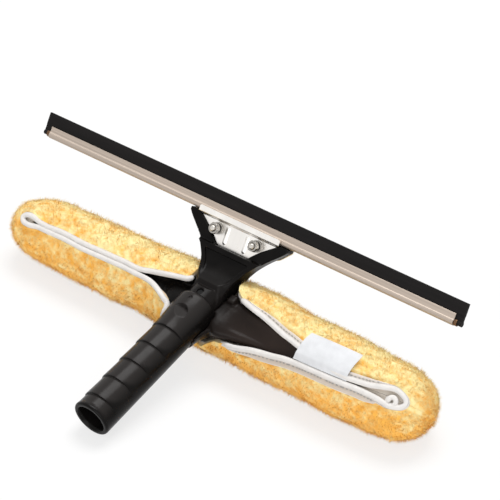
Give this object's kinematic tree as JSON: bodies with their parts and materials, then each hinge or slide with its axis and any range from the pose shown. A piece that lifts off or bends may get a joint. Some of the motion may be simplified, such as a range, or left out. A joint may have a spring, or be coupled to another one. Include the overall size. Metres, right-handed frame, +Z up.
{
  "type": "window squeegee",
  "caption": "Two-in-one window tool: a clamped rubber squeegee blade on a forked yoke and a fleece washing sleeve on a T-bar, on one stepped pole-socket handle.",
  "frame": {"origin": "on the table under the middle of the tool's bounding box, with the tool lying on its sleeve and on the end of its handle", "axes": "+X along the blade to the right, +Y away from the user from the handle to the head, +Z up from the table"},
  "size_m": [0.36, 0.1686, 0.0936],
  "materials": {
    "rubber": "matt black blade rubber",
    "channel_steel": "stainless, brushed along its length",
    "plate_steel": "bright stainless pressing",
    "fastener_steel": "plain stainless hardware",
    "clip_brass": "dull spring brass",
    "black_plastic": "satin moulded black",
    "fleece": "golden plush pile",
    "white_cloth": "white woven tape"
  },
  "bodies": {
    "handle_and_yoke": {"handle_grip": "black_plastic", "squeegee_yoke": "black_plastic", "t_bar": "black_plastic", "yoke_screw": "fastener_steel", "t_bar_screw": "fastener_steel", "rear_jaw": "plate_steel", "clamp_bolt_left": "fastener_steel", "clamp_bolt_right": "fastener_steel", "washer_sleeve": "fleece", "slit_binding": "white_cloth", "sleeve_label": "white_cloth"},
    "blade_carriage": {"squeegee_channel": "channel_steel", "rubber_blade": "rubber", "end_clip_left": "clip_brass", "end_clip_right": "clip_brass"},
    "clamp": {"clamp_plate": "plate_steel", "flat_washer_left": "fastener_steel", "flat_washer_right": "fastener_steel", "lock_washer_left": "fastener_steel", "lock_washer_right": "fastener_steel"},
    "nut_left": {"clamp_nut_left": "fastener_steel"},
    "nut_right": {"clamp_nut_right": "fastener_steel"}
  },
  "joints": [
    {"name": "channel_slide", "type": "slide", "parent": "handle_and_yoke", "child": "blade_carriage", "axis": [1, 0, 0], "range_m": [-0.128, 0.128]},
    {"name": "clamp_release", "type": "slide", "parent": "handle_and_yoke", "child": "clamp", "axis": [0, -0.8607, 0.509], "range_m": [0, 0.0015]},
    {"name": "nut_left_turn", "type": "hinge", "parent": "clamp", "child": "nut_left", "pos_m": [-0.0166, 0.07121, 0.07227], "axis": [0, -0.8607, 0.509], "range_deg": [-20, 830]},
    {"name": "nut_right_turn", "type": "hinge", "parent": "clamp", "child": "nut_right", "pos_m": [0.0166, 0.07121, 0.07227], "axis": [0, -0.8607, 0.509], "range_deg": [-20, 830]}
  ],
  "couplings": [
    {"joint": "nut_left_turn", "follows": "clamp_release", "rad_per_m": 8976},
    {"joint": "nut_right_turn", "follows": "clamp_release", "rad_per_m": 8976}
  ]
}
